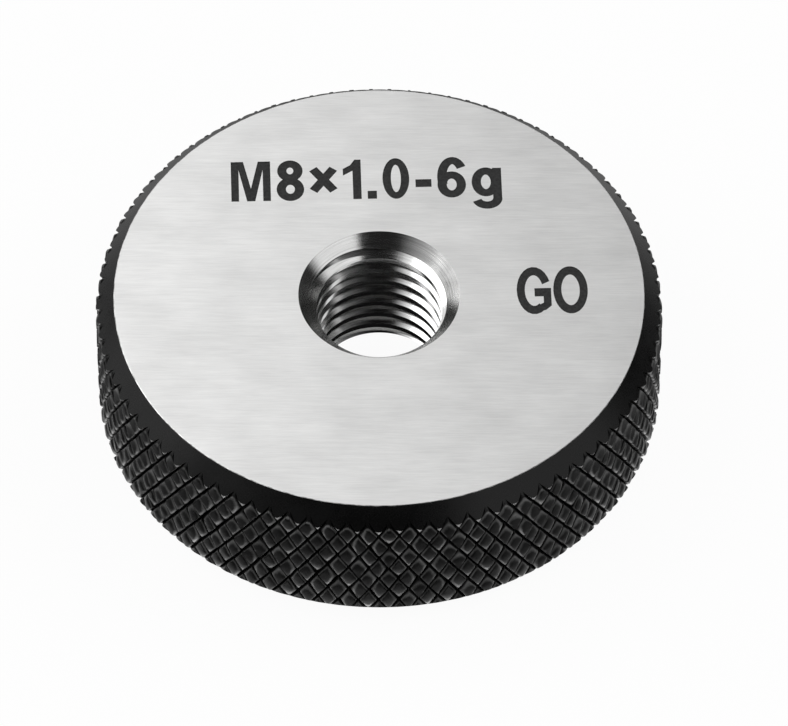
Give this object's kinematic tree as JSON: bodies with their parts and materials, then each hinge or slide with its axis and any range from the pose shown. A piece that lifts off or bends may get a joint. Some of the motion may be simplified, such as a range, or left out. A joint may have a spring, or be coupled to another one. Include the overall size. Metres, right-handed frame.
{
  "type": "thread ring gauge",
  "caption": "Solid steel ring with a threaded bore for checking outside threads; flat ground faces and a blackened diamond-knurled rim for grip.",
  "frame": {"origin": "centre of the lower face, on the bore's axis", "axes": "+Z along the bore's axis towards the marked face, +X to the right of the marks as they are read from -Y"},
  "size_m": [0.032, 0.032, 0.0092],
  "materials": {
    "gauge_steel": "ground faces, blackened knurled rim"
  },
  "bodies": {
    "root": {"gauge_ring": "gauge_steel"}
  },
  "joints": []
}
